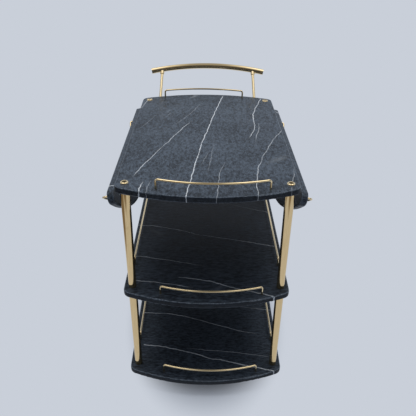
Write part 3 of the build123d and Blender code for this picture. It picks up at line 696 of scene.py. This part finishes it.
BOTTOM_VEINS = (
    VeinPath(((-0.215, -0.096), (-0.118, -0.101), (-0.019, -0.130), (0.045, -0.158), (0.108, -0.180),
              (0.170, -0.196)), 0.0020, 0.85, (1.0, 0.2)),
    VeinPath(((0.124, -0.062), (0.223, -0.078)), 0.0018, 0.7, (0.3, 1.0)),
    VeinPath(((-0.198, -0.247), (-0.147, -0.252), (-0.085, -0.269), (-0.024, -0.287), (0.020, -0.306),
              (0.048, -0.309), (0.102, -0.325), (0.160, -0.340), (0.202, -0.350), (0.230, -0.364)),
              0.0023, 1.0),
    VeinPath(((-0.061, -0.261), (0.009, -0.269), (0.073, -0.275), (0.123, -0.282), (0.195, -0.294)),
              0.0017, 0.55, (0.2, 0.4)),
)
LEAF_VEINS = (
    VeinPath(((-0.230, -0.034), (-0.120, -0.062), (0.020, -0.105), (0.110, -0.130)), 0.0018, 0.9,
              (0.1, 0.3)),
    VeinPath(((-0.120, -0.024), (0.010, -0.036), (0.140, -0.058), (0.260, -0.080)), 0.0015, 0.6,
              (0.1, 0.5)),
    VeinPath(((-0.286, 0.004), (-0.281, -0.012), (-0.262, -0.050)), 0.0019, 1.0, (1.0, 0.3)),
    VeinPath(((0.120, -0.024), (0.230, -0.036), (0.330, -0.040)), 0.0014, 0.5, (0.1, 1.0)),
)


@dataclass
class Finishes:
    """Every finish of the trolley, made once."""

    effects: Effects = field(default_factory=Effects)

    def __post_init__(self) -> None:
        """Make the materials."""
        low, high = (Vector(corner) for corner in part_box("top_slab"))
        across, along = (low + high).to_2d() / 2
        tier = dict(dark=srgb("171b21"), vein=srgb("e2e6ea"), roughness=0.42, middle=(across, along, 0.0))
        top = dict(tier, light=srgb("59636f"))
        # Shelves get a stronger painted edge highlight, and leaves almost no painted side shade.
        shelf = dict(tier, light=srgb("4b545f"), lay=(0.3, 1.0, 1.0), stray=0.15, edge_highlight_share=0.8)
        leaf = dict(top, middle=(0.0, along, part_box("left_leaf")[1].z), stray=0.15, side_shade_share=0.1)
        turned = tuple(path.turned() for path in LEAF_VEINS)
        left = dict(leaf, face=Face.LEFT_LEAF, paths=LEAF_VEINS)
        right = dict(leaf, face=Face.RIGHT_LEAF, paths=turned)
        self.top_stone = MarbleFinish("top_stone", paths=TOP_VEINS, **top).make(self.effects)
        self.middle_stone = MarbleFinish("middle_stone", paths=MIDDLE_VEINS, **shelf).make(self.effects)
        self.bottom_stone = MarbleFinish("bottom_stone", paths=BOTTOM_VEINS, **shelf).make(self.effects)
        self.left_leaf_stone = MarbleFinish("left_leaf_stone", **left).make(self.effects)
        self.right_leaf_stone = MarbleFinish("right_leaf_stone", **right).make(self.effects)
        brass = dict(colour=srgb("ecd09f"), tarnish=srgb("b19256"), roughness=0.06)
        # A paler, greyer copy of the post brass for the rods, rails, handle and cup washers: painted
        # highlight on their thin shapes.
        pale = dict(colour=srgb("eedab2"), tarnish=srgb("b3965f"), roughness=0.04, fineness=4000.0,
                    streak_share=0.1)
        plated = dict(colour=srgb("b4b7ba"), tarnish=srgb("8b8578"), roughness=0.32, fineness=700.0)
        # Screw heads: brass, darkened with a heavy dark share, partly their own colour and partly painted
        # shade in the washers' cups.
        cup_shade_dark = dict(colour=srgb("77663f"), tarnish=srgb("3a2f1c"), roughness=0.2, tarnish_share=0.8)
        plastic = dict(colour=srgb("2b2c2f"), worn=srgb("5d5c58"), roughness=0.42)
        self.post_brass = MetalFinish("post_brass", lay=Lay.UPRIGHT, **brass).make(self.effects)
        self.highlight_paled_brass = MetalFinish("highlight_paled_brass", **pale).make(self.effects)
        self.fitting_brass = MetalFinish("fitting_brass", **brass).make(self.effects)
        self.zinc = MetalFinish("zinc_steel", **plated).make(self.effects)
        self.screw_brass = MetalFinish("screw_brass", **cup_shade_dark).make(self.effects)
        self.wheel = PlasticFinish("wheel_plastic", **plastic).make(self.effects)


def dress(names: Iterable[str], material: bpy.types.Material) -> None:
    """Give solids of the frame a finish.

    Args:
        names: Their node names.
        material: The finish.
    """
    for name in names:
        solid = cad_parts[name]
        solid.data.materials.clear()
        solid.data.materials.append(material)
        log.info("dressed %s in %s", name, material.name)


def skin(rings: Sequence[Sequence[Vector]], base: int) -> tuple[list[Vector], list[tuple[int, ...]]]:
    """Join rings of points into a closed skin with a fan at each end.

    Args:
        rings: Rings with the same number of points, in order from one end to the other.
        base: The number of points that the mesh already has.

    Returns:
        The points and the faces.
    """
    count = len(rings[0])
    points = [point for ring in rings for point in ring]
    faces = []
    for row in range(len(rings) - 1):
        for i in range(count):
            j = (i + 1) % count
            lower, upper = base + row * count, base + (row + 1) * count
            faces.append((lower + i, lower + j, upper + j, upper + i))
    last = base + (len(rings) - 1) * count
    for ring, start, order in ((rings[0], base, -1), (rings[-1], last, 1)):
        middle = base + len(points)
        points.append(sum(ring, Vector()) / count)
        faces += [(middle, *((start + i, start + (i + 1) % count)[::order])) for i in range(count)]
    return points, faces


@dataclass
class StoneTiers:
    """The three fixed tiers."""

    finishes: Finishes

    def dress(self) -> None:
        """Give each tier its own veined stone."""
        dress(["top_slab"], self.finishes.top_stone)
        dress(["middle_shelf"], self.finishes.middle_stone)
        dress(["bottom_shelf"], self.finishes.bottom_stone)


@dataclass
class PostSet:
    """The eight posts with their washers, screws and studs."""

    finishes: Finishes
    head_radius: float = 0.0062
    shank_radius: float = 0.003
    key_size: float = 0.004
    socket_depth: float = 0.0022
    edge_break: float = 0.0003
    head_break: float = 0.00045
    tip_break: float = 0.0006
    mouth_times: float = 1.2
    floor_times: float = 0.6
    steps: int = 48
    sharp_angle: float = math.radians(35.0)

    def _ring(self, middle: Vector, radius: float, hexagon: bool = False) -> list[Vector]:
        """Return one ring of a screw.

        Args:
            middle: Its middle.
            radius: Its radius, or for a hexagon half its width over the flats.
            hexagon: True for the shape of the key.

        Returns:
            The points of the ring.
        """
        sixth = math.pi / 3
        points = []
        for i in range(self.steps):
            angle = math.tau * i / self.steps
            reach = radius / math.cos((angle + sixth / 2) % sixth - sixth / 2) if hexagon else radius
            points.append(middle + Vector((reach * math.cos(angle), reach * math.sin(angle), 0.0)))
        return points

    def _screw(self, place: Vector, low: float, high: float) -> list[list[Vector]]:
        """Return the rings of one countersunk screw.

        Args:
            place: Where it stands.
            low: The level of its tip.
            high: The level of its head.

        Returns:
            The rings from the tip, over the head, to the floor of its socket.
        """
        edge = self.edge_break
        half_key = self.key_size / 2
        cone = self.head_radius - self.shank_radius
        profile = (
            (self.shank_radius - self.tip_break, low, False),
            (self.shank_radius, low + self.tip_break, False),
            (self.shank_radius, high - cone, False),
            (self.head_radius - edge, high - edge, False),
            (self.head_radius - self.head_break, high, False),
            (half_key * self.mouth_times, high, False),
            (half_key, high - edge, True),
            (half_key, high - self.socket_depth + edge, True),
            (half_key * self.floor_times, high - self.socket_depth, False),
        )
        return [self._ring(Vector((place.x, place.y, level)), radius, key) for radius, level, key in profile]

    def build(self) -> None:
        """Make the four screws of the top with the sockets for their key."""
        low, high = (corner.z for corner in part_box("top_screws"))
        points: list[Vector] = []
        faces: list[tuple[int, ...]] = []
        for corner in CORNERS:
            first, last = (Vector(edge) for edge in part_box(f"upper_post_{corner}"))
            more_points, more_faces = skin(self._screw((first + last) / 2, low, high), len(points))
            points += more_points
            faces += more_faces
        mesh = bpy.data.meshes.new("top_screws_hex")
        mesh.from_pydata(points, [], faces)
        mesh.shade_smooth()
        mesh.set_sharp_from_angle(angle=self.sharp_angle)
        mesh.materials.append(self.finishes.screw_brass)
        screws = bpy.data.objects.new("top_screws_hex", mesh)
        bpy.context.scene.collection.objects.link(screws)
        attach(screws, "frame")
        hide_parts("top_screws")
        log.info("built %s", screws.name)

    def dress(self) -> None:
        """Give the posts upright polish, and the fixings theirs."""
        posts = [f"{run}_post_{corner}" for run in ("upper", "lower") for corner in CORNERS]
        dress(posts, self.finishes.post_brass)
        # The cup washers take the brass paled for painted highlights.
        dress(["cup_washers"], self.finishes.highlight_paled_brass)
        dress(["top_screws"], self.finishes.screw_brass)
        dress(["joining_studs", "base_screws"], self.finishes.zinc)


@dataclass
class GalleryRails:
    """The bent rods round the tiers and on the leaves."""

    finishes: Finishes

    def dress(self) -> None:
        """Give every rail the brass paled to paint its bright highlights."""
        ends = [f"{tier}_rail_{end}" for tier in ("top", "middle", "bottom") for end in ENDS]
        sides = [f"{tier}_rail_{side}" for tier in ("middle", "bottom") for side in SIDES]
        leaves = [f"{side}_leaf_rail" for side in SIDES]
        dress(ends + sides + leaves, self.finishes.highlight_paled_brass)


@dataclass
class PushHandle:
    """The bowed handle tube on its two rods."""

    finishes: Finishes

    def dress(self) -> None:
        """Give the tube and its rods the brass paled to paint their bright highlights, and give the clamps
        the fittings' brass.
        """
        dress(["handle_bar"], self.finishes.highlight_paled_brass)
        dress([f"handle_rod_{side}" for side in SIDES], self.finishes.highlight_paled_brass)
        dress(["handle_clamps"], self.finishes.fitting_brass)


@dataclass
class DropLeaves:
    """The two hinged leaves with their hinges and stays."""

    finishes: Finishes

    def dress(self) -> None:
        """Give the leaves the top's stone and their fittings brass and steel."""
        dress(["left_leaf"], self.finishes.left_leaf_stone)
        dress(["right_leaf"], self.finishes.right_leaf_stone)
        fittings = ("hinge_plates", "stay_brackets", "stay_links")
        dress([f"{side}_{name}" for side in SIDES for name in fittings], self.finishes.fitting_brass)
        dress(["hinge_frame_plates", "stay_hangers"], self.finishes.fitting_brass)
        dress([f"{side}_leaf_screws" for side in SIDES], self.finishes.zinc)
        dress(["hinge_pins", "stay_studs", "fixing_screws"], self.finishes.zinc)


@dataclass
class Casters:
    """The four swivel casters under the bottom tier."""

    finishes: Finishes

    def dress(self) -> None:
        """Give the metalwork zinc and the wheels dark plastic."""
        dress(["caster_plates", "kingpins"], self.finishes.zinc)
        metal = [f"caster_{part}_{corner}" for part in ("fork", "axle") for corner in CORNERS]
        dress(metal, self.finishes.zinc)
        dress([f"caster_wheel_{corner}" for corner in CORNERS], self.finishes.wheel)


@dataclass(frozen=True)
class Lamp:
    """A soft square lamp, with its side in metres and its power in watts."""

    name: str
    place: Place
    aim: Place
    size: float
    power: float
    mirrored: bool

    def hang(self) -> None:
        """Hang the lamp, and show it in polished metal where it is mirrored."""
        data = bpy.data.lights.new(self.name, "AREA")
        data.size = self.size
        data.energy = self.power
        lamp = bpy.data.objects.new(self.name, data)
        lamp.location = self.place
        lamp.rotation_euler = (Vector(self.aim) - Vector(self.place)).to_track_quat("-Z", "Y").to_euler()
        lamp.visible_glossy = self.mirrored
        bpy.context.scene.collection.objects.link(lamp)


@dataclass
class Studio:
    """The floor, the light and the camera.

    Heights and depths of the room are parts of a direction's length, and those of the floor are metres.
    """

    backdrop: Colour = srgb("c9cfd9")
    behind: Colour = srgb("453f37")
    beyond: Colour = srgb("80776a")
    ceiling: Colour = srgb("77746d")
    skylight: Colour = (2.1, 2.05, 1.9)
    fill: Colour = srgb("dfe8f6")
    floor_size: float = 30.0
    floor_cloud: float = 1.2
    floor_layers: Point = (2.0, 0.55)
    floor_tone: Point = (0.3, 0.7)
    floor_shade: float = 0.97
    floor_roughness: float = 0.9
    floor_specular: float = 0.1
    shadow_shape: Place = (1.75, 1.0, 1.0)
    shadow_edge: Point = (0.33, 0.52)
    shadow_light: float = 0.1
    dark_ahead: Point = (-1.55, -1.3)
    dark_ahead_end: Point = (0.7, 1.1)
    dark_left: Point = (-1.05, -0.8)
    front_depth: Point = (-0.55, 0.1)
    front_height: Point = (0.5, 0.75)
    ceiling_height: Point = (0.55, 0.75)
    sky_height: Point = (0.74, 0.86)
    sky_split: Point = (0.03, 0.25)
    sky_middle: float = 0.1
    fill_height: Point = (0.45, 0.95)
    fill_strength: Point = (0.05, 0.8)
    lamps: tuple[Lamp, ...] = (
        Lamp("overhead", (0.1, 0.6, 5.5), (0.0, 0.0, 0.4), 4.0, 195.0, False),
        Lamp("side", (-2.6, -1.4, 1.9), (0.0, 0.0, 0.5), 1.4, 2.0, True),
    )
    camera_offset: Place = (-0.0090, -1.42460, 0.57056)
    pitch: float = math.radians(30.17)
    yaw: float = math.radians(0.53)
    roll: float = math.radians(0.74)
    lens: float = 43.48
    sensor: float = 36.0

    def build(self) -> None:
        """Set up everything around the trolley."""
        self._floor()
        self._world()
        for lamp in self.lamps:
            lamp.hang()
        self._camera()
        bpy.context.scene.view_settings.view_transform = "Standard"

    def _floor(self) -> None:
        """Lay a plain pale floor that takes the trolley's soft shadow."""
        mesh = bpy.data.meshes.new("studio_floor")
        half = self.floor_size / 2
        corners = [(-half, -half, 0), (half, -half, 0), (half, half, 0), (-half, half, 0)]
        mesh.from_pydata(corners, [], [(0, 1, 2, 3)])
        floor = bpy.data.objects.new("studio_floor", mesh)
        bpy.context.scene.collection.objects.link(floor)
        material, graph, shader, point = new_material("studio_floor")
        cloud = graph.noise(point, self.floor_cloud, self.floor_layers).outputs["Fac"]
        tone = graph.ramp(cloud, *self.floor_tone)
        shade = tuple(part * self.floor_shade for part in self.backdrop)
        graph.feed(shader.inputs["Base Color"], graph.mix(tone, shade, self.backdrop))
        shader.inputs["Roughness"].default_value = self.floor_roughness
        shader.inputs["Specular IOR Level"].default_value = self.floor_specular
        path = graph.add("ShaderNodeLightPath").outputs
        seen = graph.math("MAXIMUM", path["Is Camera Ray"], path["Is Glossy Ray"])
        low, high = (Vector(corner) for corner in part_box("bottom_shelf"))
        from_middle = graph.vector("SUBTRACT", point, (*((low + high).to_2d() / 2), 0.0))
        reach = graph.vector("LENGTH", graph.vector("MULTIPLY", from_middle, self.shadow_shape))
        away = graph.ramp(reach, *self.shadow_edge, self.shadow_light, 1.0)
        share = graph.math("MULTIPLY", seen, graph.math("MAXIMUM", away, path["Is Glossy Ray"]))
        # For reflected rays the floor ahead and to the left shows the darker beyond colour: a painted
        # reflection of a darker room.
        spot = graph.add("ShaderNodeSeparateXYZ", {0: point}).outputs
        ahead = graph.math("MULTIPLY", graph.ramp(spot["Y"], *self.dark_ahead, 1.0, 0.0),
                           graph.ramp(spot["X"], *self.dark_ahead_end, 1.0, 0.0))
        aside = graph.ramp(spot["X"], *self.dark_left, 1.0, 0.0)
        mirrored = graph.math("MULTIPLY", graph.math("MAXIMUM", ahead, aside), path["Is Glossy Ray"])
        plain = graph.add("ShaderNodeEmission", {"Color": graph.mix(mirrored, self.backdrop, self.beyond)})
        shown = graph.add("ShaderNodeMixShader", {0: share, 1: shader.outputs["BSDF"], 2: plain.outputs[0]})
        sink = next(node for node in graph.tree.nodes if node.type == "OUTPUT_MATERIAL")
        graph.feed(sink.inputs["Surface"], shown.outputs[0])
        mesh.materials.append(material)

    def _world(self) -> None:
        """Show the backdrop to the camera, mirror a darker room in front of it, and light from above."""
        world = bpy.data.worlds.new("studio")
        bpy.context.scene.world = world
        world.use_nodes = True
        world.node_tree.nodes.clear()
        graph = Graph(world.node_tree)
        path = graph.add("ShaderNodeLightPath").outputs
        seen = graph.math("MAXIMUM", graph.math("MAXIMUM", path["Is Camera Ray"], path["Is Glossy Ray"]),
                          path["Is Transmission Ray"])
        unseen = graph.math("SUBTRACT", 1.0, path["Is Camera Ray"])
        toward = graph.add("ShaderNodeTexCoord").outputs["Generated"]
        way = graph.add("ShaderNodeSeparateXYZ", {0: toward}).outputs
        front = graph.math("MULTIPLY", graph.ramp(way["Y"], *self.front_depth, 1.0, 0.0),
                           graph.ramp(way["Z"], *self.front_height, 1.0, 0.0))
        room = graph.mix(graph.math("MULTIPLY", front, unseen), self.backdrop, self.behind)
        overhead = graph.ramp(way["Z"], *self.ceiling_height)
        room = graph.mix(graph.math("MULTIPLY", overhead, unseen), room, self.ceiling)
        apart = graph.ramp(graph.math("ABSOLUTE", way["X"]), *self.sky_split, self.sky_middle, 1.0)
        bright = graph.math("MULTIPLY", graph.ramp(way["Z"], *self.sky_height), apart)
        room = graph.mix(graph.math("MULTIPLY", bright, path["Is Glossy Ray"]), room, self.skylight)
        plain = graph.add("ShaderNodeBackground", {"Color": room, "Strength": 1.0})
        strength = graph.ramp(way["Z"], *self.fill_height, *self.fill_strength)
        light = graph.add("ShaderNodeBackground", {"Color": self.fill, "Strength": strength})
        both = graph.add("ShaderNodeMixShader", {0: seen, 1: light.outputs[0], 2: plain.outputs[0]})
        sink = graph.add("ShaderNodeOutputWorld")
        graph.feed(sink.inputs["Surface"], both.outputs[0])

    def _camera(self) -> None:
        """Stand the camera where the photograph was taken from."""
        level_share = math.cos(self.pitch)
        forward = Vector((math.sin(self.yaw) * level_share, math.cos(self.yaw) * level_share,
                          -math.sin(self.pitch)))
        level = Vector((math.cos(self.yaw), -math.sin(self.yaw), 0.0))
        above = level.cross(forward)
        right = level * math.cos(self.roll) + above * math.sin(self.roll)
        up = above * math.cos(self.roll) - level * math.sin(self.roll)
        data = bpy.data.cameras.new("camera")
        data.sensor_width = self.sensor
        data.lens = self.lens
        camera = bpy.data.objects.new("camera", data)
        turn = Matrix((right, up, -forward)).transposed()
        low, high = (Vector(corner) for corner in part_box("top_slab"))
        middle = Vector(((low.x + high.x) / 2, (low.y + high.y) / 2, high.z))
        camera.matrix_world = Matrix.Translation(middle + Vector(self.camera_offset)) @ turn.to_4x4()
        bpy.context.scene.collection.objects.link(camera)
        bpy.context.scene.camera = camera


def main() -> None:
    """Dress the trolley, build the top's screws and set up the studio."""
    logging.basicConfig(level=logging.INFO, format="%(message)s")
    finishes = Finishes()
    posts = PostSet(finishes)
    others = [kind(finishes) for kind in (StoneTiers, GalleryRails, PushHandle, DropLeaves, Casters)]
    for assembly in (posts, *others):
        assembly.dress()
    posts.build()
    Studio().build()


if __name__ == "__main__":
    main()
